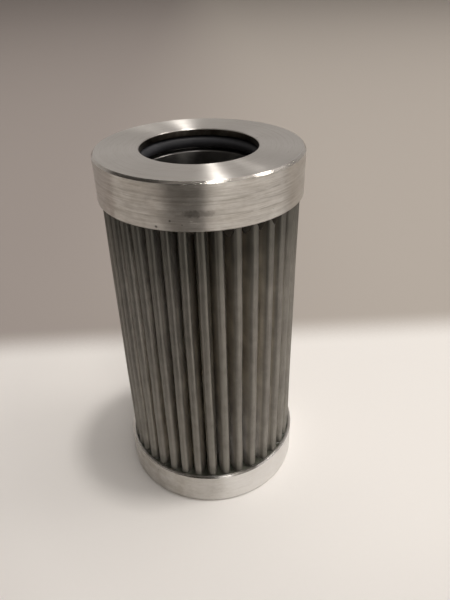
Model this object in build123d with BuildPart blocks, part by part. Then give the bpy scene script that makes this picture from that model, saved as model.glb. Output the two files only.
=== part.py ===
from build123d import *
import os
from math import cos, sin, radians, hypot, sqrt

# Pleated filter element for a hydraulic filter housing.
#
# A pleated pack of stainless wire cloth stands round a perforated steel core,
# and both ends are potted into turned aluminium end caps.  The top cap has a
# bore with an O-ring that slides over the housing's spigot.  The bottom cap is
# closed.  Oil flows in through the pleats and the core, and leaves through the
# bore.
#
# Millimetres, +Z up, origin at the centre of the bottom face.

os.makedirs("parts", exist_ok=True)

# --------------------------------------------------------------- driving sizes
overall_height = 87.2

# end caps, turned from aluminium bar
top_cap_diameter = 45.0
top_cap_height = 9.8
bottom_cap_diameter = 45.2
bottom_cap_height = 9.0
edge_chamfer = 0.5             # outer edges beside the flat faces
rim_chamfer = 0.3              # upper outer edge of the bottom cap
edge_break = 0.2               # deburred edges
channel_diameter = 43.7        # potting channel, outside
pot_depth = 3.6                # depth of the potting channels
collar_diameter = 27.0         # collar that centres the core tube
closed_floor = 4.6             # thickness of the bottom cap inside its collar

# seal bore in the top cap, for a 25 mm spigot
bore_diameter = 25.4
land_height = 1.5              # bore above the O-ring groove
groove_width = 3.6
groove_diameter = 29.6
oring_section = 2.62
oring_depth = 3.2              # centre of the ring below the top face

# perforated core tube
core_wall = 0.6
core_hole_diameter = 3.4
core_columns = 14
core_rows = 13
core_row_pitch = 5.4
core_end_gap = 0.2             # tube ends short of the channel's floor

# pleated pack: three wire cloths folded together
outer_cloth = 0.25
filter_cloth = 0.12
inner_cloth = 0.25
pleat_tip_radius = 21.70       # outermost point of the folds
tip_fold = 1.06                # outside radius of an outer fold
root_fold = 0.16               # inside radius of an inner fold
flank_spread = 25.0            # degrees that a flank opens out behind its fold
core_clearance = 0.10          # between the inner folds and the core
pack_end_gap = 0.5             # cloth ends short of the channel's floor
potting_recess = 0.40          # adhesive surface below the rim

# The pleats are gathered by hand, so their pitch varies.  These are the outer
# folds at the front, in degrees about +Z.  The other folds fill the back.
pleat_count = 38
front_folds = [-155.9, -147.6, -138.2, -129.0, -119.6, -110.5, -100.9, -91.6,
               -82.1, -71.9, -61.7, -50.4, -40.4, -30.8, -21.9]

# side seam at the back: both ends of the pack are held in a folded strip
seam_strip = 0.30
seam_leg = 3.0

# --------------------------------------------------------------- derived sizes
top_r = top_cap_diameter / 2
bottom_r = bottom_cap_diameter / 2
channel_r = channel_diameter / 2
collar_r = collar_diameter / 2
bore_r = bore_diameter / 2
groove_r = groove_diameter / 2
core_r = collar_r + core_wall
top_base = overall_height - top_cap_height
top_channel = top_base + pot_depth
bottom_channel = bottom_cap_height - pot_depth
pack_bottom = bottom_channel + pack_end_gap
pack_top = top_channel - pack_end_gap
pack = outer_cloth + filter_cloth + inner_cloth
tip_centre = pleat_tip_radius - tip_fold
root_centre = core_r + core_clearance + root_fold + pack

# fold angles round the whole pack, with the seam pleat at the back
back_count = pleat_count - len(front_folds)
back_span = 360.0 - (front_folds[-1] - front_folds[0])
folds = list(front_folds)
for i in range(1, back_count + 1):
    drift = 0.5 * sin(radians(97.0 * i)) + 0.3 * sin(radians(211.0 * i + 40.0))
    folds.append(front_folds[-1] + back_span * i / (back_count + 1) + drift)
roots = [(folds[i] + folds[i + 1]) / 2 for i in range(pleat_count - 1)]
roots.append((folds[-1] + folds[0] + 360.0) / 2)
seam = len(front_folds) + back_count // 2


def polar(r, angle):
    return (r * cos(radians(angle)), r * sin(radians(angle)))


def straight_flank(tip, root, side, d):
    """Straight flank between an outer fold and a root, at the depth d below the
    pack's outer surface: its end at the fold, its end at the root, and its unit
    normal.  side is +1 for the flank after the fold and -1 for the one before."""
    ax, ay = polar(tip_centre, tip)
    bx, by = polar(root_centre, root)
    span = hypot(bx - ax, by - ay)
    ex, ey = (bx - ax) / span, (by - ay) / span
    s = (tip_fold + root_fold) / span
    c = side * sqrt(1 - s * s)
    nx, ny = s * ex + c * ey, s * ey - c * ex
    return ((ax + (tip_fold - d) * nx, ay + (tip_fold - d) * ny),
            (bx - (root_fold + d) * nx, by - (root_fold + d) * ny),
            (nx, ny))


def bowed_flank(tip, root, side, d):
    """Control points of a flank bowed by the pack's own spring.  It opens out
    behind the fold, turns in, and meets the root along a radius."""
    ex, ey = polar(1.0, tip)
    gx, gy = polar(1.0, root)
    out, across = sin(radians(flank_spread)), side * cos(radians(flank_spread))
    ax = tip_centre * ex + (tip_fold - d) * (out * ex - across * ey)
    ay = tip_centre * ey + (tip_fold - d) * (out * ey + across * ex)
    dx = -abs(across) * ex - side * out * ey
    dy = -abs(across) * ey + side * out * ex
    bx = root_centre * gx + (root_fold + d) * side * gy
    by = root_centre * gy - (root_fold + d) * side * gx
    # the tangents at the two ends meet a along one and c along the other
    det = gx * dy - gy * dx
    a = (gx * (by - ay) - gy * (bx - ax)) / det
    c = (dx * (by - ay) - dy * (bx - ax)) / det
    return ((ax, ay), (ax + 0.80 * a * dx, ay + 0.80 * a * dy),
            (bx + 0.62 * c * gx, by + 0.62 * c * gy), (bx, by))


def flank(i, root, side, d):
    """Points of the flank between the outer fold i and a root.  The flanks of
    the seam pleat are held straight by the strip."""
    if i == seam:
        return straight_flank(folds[i], root, side, d)[:2]
    return bowed_flank(folds[i], root, side, d)


def pleat_line(d):
    """Draws the closed pleat line at the depth d below the outer surface, into
    the BuildLine that is open: crown, flank, root and flank, for every pleat."""
    for i in range(pleat_count):
        j = (i + 1) % pleat_count
        before = flank(i, roots[i - 1], -1, d)
        after = flank(i, roots[i], 1, d)
        following = flank(j, roots[i], -1, d)
        ThreePointArc(before[0], polar(tip_centre + tip_fold - d, folds[i]), after[0])
        Bezier(*after)
        ThreePointArc(after[-1], polar(root_centre - root_fold - d, roots[i]), following[-1])
        Bezier(*reversed(following))


# The seam pleat has no crown: the pack's two ends stop at seam_r, and the strip
# is folded over them.  These are its points across the pleat.
seam_r = tip_centre - 0.30
seam_plane = Plane(origin=(*polar(seam_r, folds[seam]), 0),
                   x_dir=(*polar(1.0, folds[seam]), 0), z_dir=(0, 0, 1))


def seam_points(side, root):
    """Strip points on one side of the seam pleat, in the seam plane: the flank
    at seam_r, the end of the leg, and both moved out by the strip's thickness."""
    start, end, normal = straight_flank(folds[seam], root, side, 0.0)
    a = seam_plane.to_local_coords(Vector(*start, 0))
    b = seam_plane.to_local_coords(Vector(*end, 0))
    u = (b - a).normalized()
    n = Vector(-u.Y, u.X, 0)
    if n.Y * side < 0:
        n = n * -1
    at = a - u * (a.X / u.X)
    tip = at + u * seam_leg
    outer = at + n * seam_strip
    corner = outer + u * ((seam_strip - outer.X) / u.X)
    return at, tip, tip + n * seam_strip, corner


right = seam_points(1, roots[seam])
left = seam_points(-1, roots[seam - 1])
seam_outline = [left[1], left[0], right[0], right[1], right[2], right[3], left[3], left[2]]

# --------------------------------------------------------------- top end cap
# Ring with the seal bore, the O-ring groove, and the potting channel below.
with BuildPart() as top_end_cap:
    with BuildSketch(Plane.XZ) as section:
        with BuildLine():
            Polyline(
                (bore_r + edge_break, overall_height),
                (top_r - edge_chamfer, overall_height),
                (top_r, overall_height - edge_chamfer),
                (top_r, top_base + edge_break),
                (top_r - edge_break, top_base),
                (channel_r, top_base),
                (channel_r, top_channel),
                (collar_r, top_channel),
                (collar_r, top_base),
                (bore_r, top_base),
                (bore_r, overall_height - land_height - groove_width - edge_break),
                (bore_r + edge_break, overall_height - land_height - groove_width),
                (groove_r, overall_height - land_height - groove_width),
                (groove_r, overall_height - land_height),
                (bore_r, overall_height - land_height),
                (bore_r, overall_height - edge_break),
                close=True,
            )
        make_face()
    revolve(axis=Axis.Z)
top_end_cap.part.label = "top_end_cap"

# --------------------------------------------------------------- bottom end cap
# Closed cap: a disc with the potting channel, and a collar for the core tube.
with BuildPart() as bottom_end_cap:
    with BuildSketch(Plane.XZ) as section:
        with BuildLine():
            Polyline(
                (0, 0),
                (bottom_r - edge_chamfer, 0),
                (bottom_r, edge_chamfer),
                (bottom_r, bottom_cap_height - rim_chamfer),
                (bottom_r - rim_chamfer, bottom_cap_height),
                (channel_r, bottom_cap_height),
                (channel_r, bottom_channel),
                (collar_r, bottom_channel),
                (collar_r, bottom_cap_height),
                (bore_r, bottom_cap_height),
                (bore_r, closed_floor),
                (0, closed_floor),
                close=True,
            )
        make_face()
    revolve(axis=Axis.Z)
bottom_end_cap.part.label = "bottom_end_cap"

# --------------------------------------------------------------- O-ring
with BuildPart() as bore_o_ring:
    with BuildSketch(Plane.XZ) as section:
        with Locations((groove_r - oring_section / 2, overall_height - oring_depth)):
            Circle(oring_section / 2)
    revolve(axis=Axis.Z)
bore_o_ring.part.label = "bore_o_ring"

# --------------------------------------------------------------- core tube
# Rolled perforated steel, over the collars of both caps.
core_bottom = bottom_channel + core_end_gap
core_top = top_channel - core_end_gap
hole_planes = []
for row in range(core_rows):
    z = (bottom_cap_height + top_base) / 2 + (row - (core_rows - 1) / 2) * core_row_pitch
    for column in range(core_columns):
        angle = (column + 0.5 * (row % 2)) * 360.0 / core_columns
        hole_planes.append(Plane(origin=(*polar(collar_r - 1.0, angle), z),
                                 x_dir=(0, 0, 1), z_dir=(*polar(1.0, angle), 0)))
with BuildPart() as core_tube:
    with BuildSketch(Plane.XY.offset(core_bottom)):
        Circle(core_r)
        Circle(collar_r, mode=Mode.SUBTRACT)
    extrude(amount=core_top - core_bottom)
    with BuildSketch(*hole_planes):
        Circle(core_hole_diameter / 2)
    extrude(amount=core_wall + 2.0, mode=Mode.SUBTRACT)
core_tube.part.label = "core_tube"


# --------------------------------------------------------------- pleated pack
# The three cloths are folded as one pack and nest without a gap.
with BuildPart() as outer_support_mesh:
    with BuildSketch(Plane.XY.offset(pack_bottom)):
        with BuildLine():
            pleat_line(0.0)
        make_face()
        with BuildLine():
            pleat_line(outer_cloth)
        make_face(mode=Mode.SUBTRACT)
        with Locations(seam_plane):
            Rectangle(4.0, 4.0, align=(Align.MIN, Align.CENTER), mode=Mode.SUBTRACT)
    extrude(amount=pack_top - pack_bottom)
outer_support_mesh.part.label = "outer_support_mesh"

with BuildPart() as filter_mesh:
    with BuildSketch(Plane.XY.offset(pack_bottom)):
        with BuildLine():
            pleat_line(outer_cloth)
        make_face()
        with BuildLine():
            pleat_line(outer_cloth + filter_cloth)
        make_face(mode=Mode.SUBTRACT)
        with Locations(seam_plane):
            Rectangle(4.0, 4.0, align=(Align.MIN, Align.CENTER), mode=Mode.SUBTRACT)
    extrude(amount=pack_top - pack_bottom)
filter_mesh.part.label = "filter_mesh"

with BuildPart() as inner_support_mesh:
    with BuildSketch(Plane.XY.offset(pack_bottom)):
        with BuildLine():
            pleat_line(outer_cloth + filter_cloth)
        make_face()
        with BuildLine():
            pleat_line(pack)
        make_face(mode=Mode.SUBTRACT)
        with Locations(seam_plane):
            Rectangle(4.0, 4.0, align=(Align.MIN, Align.CENTER), mode=Mode.SUBTRACT)
    extrude(amount=pack_top - pack_bottom)
inner_support_mesh.part.label = "inner_support_mesh"

# Folded strip over the pack's two ends, as tall as the pack.
with BuildPart() as seam_strip_clip:
    with BuildSketch(Plane.XY.offset(pack_bottom)):
        with BuildLine(seam_plane):
            Polyline(*[(p.X, p.Y) for p in seam_outline], close=True)
        make_face()
    extrude(amount=pack_top - pack_bottom)
seam_strip_clip.part.label = "seam_strip_clip"

# --------------------------------------------------------------- potting
# Adhesive that fills each channel round the pack, the strip and the core.
with BuildPart() as top_potting:
    with BuildSketch(Plane.XY.offset(top_base + potting_recess)):
        Circle(channel_r)
        Circle(collar_r, mode=Mode.SUBTRACT)
    extrude(amount=pot_depth - potting_recess)
    with BuildSketch(Plane.XY.offset(top_base + potting_recess)):
        with BuildLine():
            pleat_line(0.0)
        make_face()
        with BuildLine():
            pleat_line(pack)
        make_face(mode=Mode.SUBTRACT)
        with Locations(seam_plane):
            Rectangle(4.0, 4.0, align=(Align.MIN, Align.CENTER), mode=Mode.SUBTRACT)
        with BuildLine(seam_plane):
            Polyline(*[(p.X, p.Y) for p in seam_outline], close=True)
        make_face()
    extrude(amount=pack_top - top_base - potting_recess, mode=Mode.SUBTRACT)
    with BuildSketch(Plane.XY.offset(top_base + potting_recess)):
        Circle(core_r)
        Circle(collar_r, mode=Mode.SUBTRACT)
    extrude(amount=core_top - top_base - potting_recess, mode=Mode.SUBTRACT)
top_potting.part.label = "top_potting"

with BuildPart() as bottom_potting:
    with BuildSketch(Plane.XY.offset(bottom_channel)):
        Circle(channel_r)
        Circle(collar_r, mode=Mode.SUBTRACT)
    extrude(amount=pot_depth - potting_recess)
    with BuildSketch(Plane.XY.offset(pack_bottom)):
        with BuildLine():
            pleat_line(0.0)
        make_face()
        with BuildLine():
            pleat_line(pack)
        make_face(mode=Mode.SUBTRACT)
        with Locations(seam_plane):
            Rectangle(4.0, 4.0, align=(Align.MIN, Align.CENTER), mode=Mode.SUBTRACT)
        with BuildLine(seam_plane):
            Polyline(*[(p.X, p.Y) for p in seam_outline], close=True)
        make_face()
    extrude(amount=pot_depth - potting_recess - pack_end_gap, mode=Mode.SUBTRACT)
    with BuildSketch(Plane.XY.offset(core_bottom)):
        Circle(core_r)
        Circle(collar_r, mode=Mode.SUBTRACT)
    extrude(amount=pot_depth - potting_recess - core_end_gap, mode=Mode.SUBTRACT)
bottom_potting.part.label = "bottom_potting"

# --------------------------------------------------------------- export
export_step(top_end_cap.part, "parts/top_end_cap.step")
export_step(bottom_end_cap.part, "parts/bottom_end_cap.step")
export_step(bore_o_ring.part, "parts/bore_o_ring.step")
export_step(core_tube.part, "parts/core_tube.step")
export_step(outer_support_mesh.part, "parts/outer_support_mesh.step")
export_step(filter_mesh.part, "parts/filter_mesh.step")
export_step(inner_support_mesh.part, "parts/inner_support_mesh.step")
export_step(seam_strip_clip.part, "parts/seam_strip_clip.step")
export_step(top_potting.part, "parts/top_potting.step")
export_step(bottom_potting.part, "parts/bottom_potting.step")
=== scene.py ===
import math
import random

import bpy
import numpy as np
from mathutils import Matrix, Vector


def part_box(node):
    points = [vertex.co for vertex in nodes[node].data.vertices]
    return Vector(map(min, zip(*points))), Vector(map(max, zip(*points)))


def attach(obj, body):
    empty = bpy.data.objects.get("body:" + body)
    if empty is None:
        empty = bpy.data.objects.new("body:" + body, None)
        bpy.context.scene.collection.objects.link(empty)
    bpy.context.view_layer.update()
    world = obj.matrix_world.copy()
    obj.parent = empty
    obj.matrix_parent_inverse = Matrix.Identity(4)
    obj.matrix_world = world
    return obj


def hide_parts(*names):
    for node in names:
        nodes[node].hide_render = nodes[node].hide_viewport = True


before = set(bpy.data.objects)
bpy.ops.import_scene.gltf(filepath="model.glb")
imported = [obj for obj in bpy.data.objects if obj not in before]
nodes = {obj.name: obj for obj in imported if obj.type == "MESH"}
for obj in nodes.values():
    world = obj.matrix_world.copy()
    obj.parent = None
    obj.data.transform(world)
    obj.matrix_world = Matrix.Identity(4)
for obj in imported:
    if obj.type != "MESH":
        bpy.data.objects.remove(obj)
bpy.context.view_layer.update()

MM = 0.001

# ---------------------------------------------------------------- sizes, from the parts in model.glb
top_lo, top_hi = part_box("top_end_cap")
bot_lo, bot_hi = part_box("bottom_end_cap")
pack_lo, pack_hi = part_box("outer_support_mesh")
core_lo, core_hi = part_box("core_tube")
tpot_lo, tpot_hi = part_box("top_potting")
bpot_lo, bpot_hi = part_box("bottom_potting")
H = top_hi.z
TOP_R = top_hi.x
BOT_R = bot_hi.x
TOP_BASE = top_lo.z
BOT_TOP = bot_hi.z
CHANNEL_R = bpot_hi.x
CHANNEL_FLOOR = bpot_lo.z
CHANNEL_CEIL = tpot_hi.z
CORE_R = core_hi.x
COLLAR_R = CORE_R - 0.6 * MM
BORE_R = 12.7 * MM
GROOVE_R = 14.8 * MM
LAND = 1.5 * MM
GROOVE_W = 3.6 * MM


# ---------------------------------------------------------------- mesh helpers
def new_object(name, verts, faces, uvs=None, smooth=35.0, body="root"):
    me = bpy.data.meshes.new(name)
    me.from_pydata([tuple(v) for v in verts], [], faces)
    if uvs is not None:
        layer = me.uv_layers.new(name="UVMap")
        loop_v = np.zeros(len(me.loops), np.int32)
        me.loops.foreach_get("vertex_index", loop_v)
        flat = np.asarray(uvs, np.float32)
        if len(flat) == len(me.loops):
            layer.data.foreach_set("uv", flat.ravel())
        else:
            layer.data.foreach_set("uv", flat[loop_v].ravel())
    me.validate()
    me.update()
    me.polygons.foreach_set("use_smooth", [True] * len(me.polygons))
    if smooth is not None:
        me.set_sharp_from_angle(angle=math.radians(smooth))
    ob = bpy.data.objects.new(name, me)
    bpy.context.scene.collection.objects.link(ob)
    if body:
        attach(ob, body)
    return ob


def rounded(points, closed=True):
    """A profile [(r, z, corner radius, steps)] with its corners rounded."""
    out = []
    n = len(points)
    for i, (r, z, rad, steps) in enumerate(points):
        p = Vector((r, z))
        if rad <= 0 or (not closed and i in (0, n - 1)):
            out.append(p)
            continue
        a = Vector(points[i - 1][:2])
        b = Vector(points[(i + 1) % n][:2])
        u, v = (a - p).normalized(), (b - p).normalized()
        ang = u.angle(v)
        t = rad / math.tan(ang / 2)
        t = min(t, 0.45 * (a - p).length, 0.45 * (b - p).length)
        rad = t * math.tan(ang / 2)
        bis = (u + v).normalized()
        c = p + bis * (rad / math.sin(ang / 2))
        s, e = p + u * t, p + v * t
        a0 = math.atan2(s.y - c.y, s.x - c.x)
        a1 = math.atan2(e.y - c.y, e.x - c.x)
        d = (a1 - a0 + math.pi) % (2 * math.pi) - math.pi
        for k in range(steps + 1):
            q = a0 + d * k / steps
            out.append(Vector((c.x + rad * math.cos(q), c.y + rad * math.sin(q))))
    return out


def lathe(name, profile, segments=512, smooth=30.0, second=None):
    """A closed profile of (r, z) turned about Z. UV: u round the axis, v along the profile, in units of 10 mm.
    second(r, z) picks the stretches that take the second material, by their middle."""
    on_axis = [abs(p[0]) < 1e-7 for p in profile]
    index, verts = [], []
    for p, ax in zip(profile, on_axis):
        if ax:
            index.append([len(verts)] * segments)
            verts.append((0.0, 0.0, p[1]))
        else:
            first = len(verts)
            index.append(list(range(first, first + segments)))
            for k in range(segments):
                a = 2 * math.pi * k / segments
                verts.append((p[0] * math.cos(a), p[0] * math.sin(a), p[1]))
    length = [0.0]
    n = len(profile)
    for i in range(n):
        q = profile[(i + 1) % n]
        length.append(length[-1] + math.hypot(q[0] - profile[i][0], q[1] - profile[i][1]))
    faces, uvs, mats = [], [], []
    for i in range(n):
        j = (i + 1) % n
        if on_axis[i] and on_axis[j]:
            continue
        v0, v1 = length[i] * 100, length[i + 1] * 100
        kind = 1 if second and second((profile[i][0] + profile[j][0]) / 2, (profile[i][1] + profile[j][1]) / 2) else 0
        for k in range(segments):
            m = (k + 1) % segments
            u0, u1 = k / segments, (k + 1) / segments
            loop = [(index[i][k], u0, v0), (index[i][m], u1, v0), (index[j][m], u1, v1), (index[j][k], u0, v1)]
            seen, quad = set(), []
            for c in loop:
                if c[0] not in seen:
                    seen.add(c[0])
                    quad.append(c)
            faces.append([c[0] for c in quad])
            uvs.extend([(c[1], c[2]) for c in quad])
            mats.append(kind)
    ob = new_object(name, verts, faces, uvs, smooth)
    ob.data.polygons.foreach_set("material_index", mats)
    return ob


# ---------------------------------------------------------------- pleat line
PLEATS = 38
FRONT = [-155.9, -147.6, -138.2, -129.0, -119.6, -110.5, -100.9, -91.6,
         -82.1, -71.9, -61.7, -50.4, -40.4, -30.8, -21.9]
TIP_FOLD, ROOT_FOLD = 1.06, 0.16
CLOTHS = (0.25, 0.12, 0.25)
PACK = sum(CLOTHS)
SPREAD = 25.0          # degrees: how much each flank opens out behind its fold
TIP_C = 21.70 - TIP_FOLD
ROOT_C = CORE_R / MM + 0.10 + ROOT_FOLD + PACK
back_count = PLEATS - len(FRONT)
back_span = 360.0 - (FRONT[-1] - FRONT[0])
folds = list(FRONT)
for i in range(1, back_count + 1):
    drift = 0.5 * math.sin(math.radians(97.0 * i)) + 0.3 * math.sin(math.radians(211.0 * i + 40.0))
    folds.append(FRONT[-1] + back_span * i / (back_count + 1) + drift)
roots = [(folds[i] + folds[i + 1]) / 2 for i in range(PLEATS - 1)]
roots.append((folds[-1] + folds[0] + 360.0) / 2)
SEAM = len(FRONT) + back_count // 2
SEAM_R = TIP_C - 0.30


def polar(r, deg):
    return np.array([r * math.cos(math.radians(deg)), r * math.sin(math.radians(deg))])


def flank(tip, root, side, d, steps, spread):
    """Points from the end of the fold's crown to the start of the root's valley, at the depth d behind the outer face.
    side is 1 where the root lies anticlockwise of the fold. Returns the points and the crown's half angle."""
    e = polar(1.0, tip)
    g = polar(1.0, root)
    if tip == folds[SEAM]:                           # held straight by the strip
        w = ROOT_C * g - TIP_C * e
        far = np.linalg.norm(w)
        w = w / far
        k = (TIP_FOLD + ROOT_FOLD) / far
        n = k * w + side * math.sqrt(1 - k * k) * np.array([w[1], -w[0]])
        start, end = TIP_C * e + (TIP_FOLD - d) * n, ROOT_C * g - (ROOT_FOLD + d) * n
        return [start + (end - start) * i / steps for i in range(steps + 1)], math.pi / 2
    lat = side * np.array([-e[1], e[0]])             # from the fold's middle towards the root
    back = side * np.array([g[1], -g[0]])            # from the root's middle back towards the fold
    b = math.radians(90.0 - spread)
    p0 = TIP_C * e + TIP_FOLD * (math.cos(b) * e + math.sin(b) * lat)
    d0 = -math.sin(b) * e + math.cos(b) * lat
    p3 = ROOT_C * g + ROOT_FOLD * back
    # where the two end tangents meet
    m = np.array([[d0[0], -g[0]], [d0[1], -g[1]]])
    a, c = np.linalg.solve(m, p3 - p0)
    p1, p2 = p0 + d0 * a * 0.80, p3 + g * c * 0.62
    out = []
    for k in range(steps + 1):
        t = (k / steps)
        q = (1 - t) ** 3 * p0 + 3 * t * (1 - t) ** 2 * p1 + 3 * t * t * (1 - t) * p2 + t ** 3 * p3
        v = 3 * (1 - t) ** 2 * (p1 - p0) + 6 * t * (1 - t) * (p2 - p1) + 3 * t * t * (p3 - p2)
        v /= np.linalg.norm(v)
        n = side * np.array([-v[1], v[0]]) * -1.0
        out.append(q - d * (n if n @ lat > 0 else -n))
    return out, b


def crown(tip, d, half_left, half_right, steps):
    """The crown of a fold, from its clockwise side to its anticlockwise side. It is a little squarer than a half circle,
    and on most folds the anticlockwise shoulder is the sharper one."""
    e = polar(1.0, tip)
    lat = np.array([-e[1], e[0]])
    rad = TIP_FOLD - d
    sharp = float(np.interp(tip, [-118.0, -98.0], [0.025, 0.095]))
    out = []
    for k in range(1, steps):
        q = -half_left + (half_left + half_right) * k / steps
        c, s = math.cos(q), math.sin(q)
        edge = half_right if q > 0 else half_left
        f = 1.0 + (sharp if q > 0 else 0.035) * math.sin(math.pi * min(abs(q) / edge, 1.0)) ** 2
        out.append(TIP_C * e + rad * f * (c * e + s * lat))
    return out


def valley(root, d, steps):
    """The bottom of a root, from its clockwise side to its anticlockwise side, by way of the inside."""
    g = polar(1.0, root)
    lat = np.array([-g[1], g[0]])
    rad = ROOT_FOLD + d
    return [ROOT_C * g + rad * (-math.cos(q) * lat - math.sin(q) * g)
            for q in (math.pi * k / steps for k in range(1, steps))]


def pleat_points(d, n_crown=12, n_flank=12, n_valley=6):
    """The open pleat line at the depth d: rows of x, y, pleat index, and weight, which is 1 on a fold and 0 on a root.
    It starts and ends at the side seam."""
    out = []
    u = polar(1.0, folds[SEAM])

    def add(p, pleat, w):
        out.append((p[0], p[1], pleat, w))

    def cut(points):
        """Leaves the part of a flank that lies inside the seam's edge."""
        keep = [p for p in points if p @ u < SEAM_R - 0.02]
        first = points[len(points) - len(keep) - 1]
        t = (SEAM_R - first @ u) / ((keep[0] - first) @ u)
        return [first + (keep[0] - first) * t] + keep

    for step in range(PLEATS):
        i = (SEAM + step) % PLEATS
        j = (i + 1) % PLEATS
        down, _ = flank(folds[i], roots[i], 1, d, n_flank, SPREAD)
        if step == 0:
            down = cut(down)
        for k, p in enumerate(down):
            add(p, i, 1 - k / (len(down) - 1))
        for p in valley(roots[i], d, n_valley):
            add(p, i, 0.0)
        up, b = flank(folds[j], roots[i], -1, d, n_flank, SPREAD)
        if step == PLEATS - 1:
            up = cut(up)
        up = up[::-1]
        for k, p in enumerate(up):
            add(p, j, k / (len(up) - 1))
        if step < PLEATS - 1:
            for p in crown(folds[j], d, b, b, n_crown):
                add(p, j, 1.0)
    return np.array(out)


rng = np.random.default_rng(41)
LEAN = rng.normal(0, 0.16, PLEATS)
BOW = rng.normal(0, 0.22, PLEATS)
WAVE = rng.normal(0, 0.10, PLEATS)
WAVE2 = rng.normal(0, 0.05, PLEATS)
PHASE = rng.uniform(0, 2 * math.pi, (PLEATS, 3))
OUT = rng.normal(0, 0.05, PLEATS)
for i, a in enumerate(folds):
    if -75 < a < -20:      # the pleats at the right of the front lean over at their foot
        LEAN[i] = 0.55
        BOW[i] = 0.30
LEAN[SEAM] = BOW[SEAM] = WAVE[SEAM] = WAVE2[SEAM] = OUT[SEAM] = 0.0


def sway(pleat, t):
    """How far a fold has moved round the axis, in degrees, and outwards, in mm, at t from 0 at the foot to 1 at the top."""
    p = pleat.astype(int)
    a = (LEAN[p] * (t - 1) * 1.6 + BOW[p] * np.sin(math.pi * t)
         + WAVE[p] * np.sin(2 * math.pi * t * 1.5 + PHASE[p, 0])
         + WAVE2[p] * np.sin(2 * math.pi * t * 4.0 + PHASE[p, 1]))
    r = OUT[p] * np.sin(math.pi * t) + 0.02 * np.sin(2 * math.pi * t * 2.3 + PHASE[p, 2]) * (p != SEAM)
    return a, r


def cloth(name, d0, d1, rows=28):
    """One folded cloth, between the depths d0 and d1, as a closed shell. UV: u along the cloth and v up, in mm."""
    outer, inner = pleat_points(d0), pleat_points(d1)
    mid = (outer[:, :2] + inner[:, :2]) / 2
    run = np.concatenate([[0], np.cumsum(np.linalg.norm(np.diff(mid, axis=0), axis=1))])
    n = len(run)
    z = np.linspace(pack_lo.z / MM, pack_hi.z / MM, rows + 1)
    layers = []
    for prof in (outer, inner):
        for zz in z:
            t = (zz - z[0]) / (z[-1] - z[0])
            a, r = sway(prof[:, 2], np.full(n, t))
            w = prof[:, 3]
            w = w * w * (3 - 2 * w)
            ang = np.radians(a * w)
            rad = np.hypot(prof[:, 0], prof[:, 1])
            base = np.arctan2(prof[:, 1], prof[:, 0]) + ang
            rad = rad + r * w
            layers.append(np.stack([rad * np.cos(base), rad * np.sin(base), np.full(n, zz)], 1))
    verts = np.concatenate(layers) * MM
    k = rows + 1

    def vid(side, row, i):
        return (side * k + row) * n + i

    faces, uvs = [], []
    for row in range(rows):
        for i in range(n - 1):
            faces.append((vid(0, row, i), vid(0, row, i + 1), vid(0, row + 1, i + 1), vid(0, row + 1, i)))
            uvs += [(run[i], z[row]), (run[i + 1], z[row]), (run[i + 1], z[row + 1]), (run[i], z[row + 1])]
            faces.append((vid(1, row, i), vid(1, row + 1, i), vid(1, row + 1, i + 1), vid(1, row, i + 1)))
            uvs += [(run[i], z[row]), (run[i], z[row + 1]), (run[i + 1], z[row + 1]), (run[i + 1], z[row])]
        for i, flip in ((0, True), (n - 1, False)):
            f = [(vid(0, row, i), z[row], 0.0), (vid(1, row, i), z[row], d1 - d0),
                 (vid(1, row + 1, i), z[row + 1], d1 - d0), (vid(0, row + 1, i), z[row + 1], 0.0)]
            if flip:
                f = f[::-1]
            faces.append(tuple(c[0] for c in f))
            uvs += [(run[i] + c[2], c[1]) for c in f]
    for i in range(n - 1):
        faces.append((vid(0, 0, i), vid(1, 0, i), vid(1, 0, i + 1), vid(0, 0, i + 1)))
        uvs += [(run[i], z[0]), (run[i], z[0] + d1 - d0), (run[i + 1], z[0] + d1 - d0), (run[i + 1], z[0])]
        faces.append((vid(0, rows, i), vid(0, rows, i + 1), vid(1, rows, i + 1), vid(1, rows, i)))
        uvs += [(run[i], z[-1]), (run[i + 1], z[-1]), (run[i + 1], z[-1] + d1 - d0), (run[i], z[-1] + d1 - d0)]
    return new_object(name, verts, faces, uvs, 50.0)


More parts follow.
